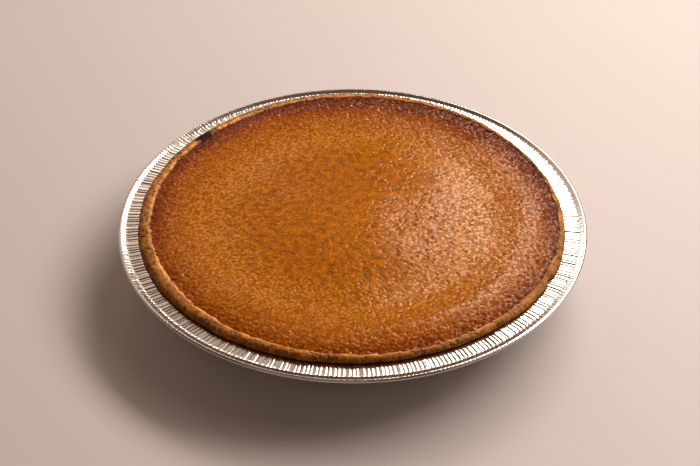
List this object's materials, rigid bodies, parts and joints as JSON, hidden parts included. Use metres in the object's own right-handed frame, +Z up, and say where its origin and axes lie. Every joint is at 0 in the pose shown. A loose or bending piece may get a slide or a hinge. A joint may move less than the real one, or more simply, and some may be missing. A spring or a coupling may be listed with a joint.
{
  "type": "pumpkin pie in foil pan",
  "caption": "Round pumpkin pie with a low browned pastry edge, in a disposable fluted aluminium foil pan with a rolled rim.",
  "frame": {"origin": "centre of the pan's flat base, on the surface it rests on", "axes": "+Z up out of the pie; -Y towards a viewer in front of it"},
  "size_m": [0.222, 0.222, 0.0315],
  "materials": {
    "foil": "bright thin foil, finely fluted",
    "pastry": "matt browned shortcrust pastry",
    "custard": "baked pumpkin custard with a soft sheen"
  },
  "bodies": {
    "root": {"foil_pan": "foil", "pastry_crust": "pastry", "pumpkin_filling": "custard"}
  },
  "joints": []
}
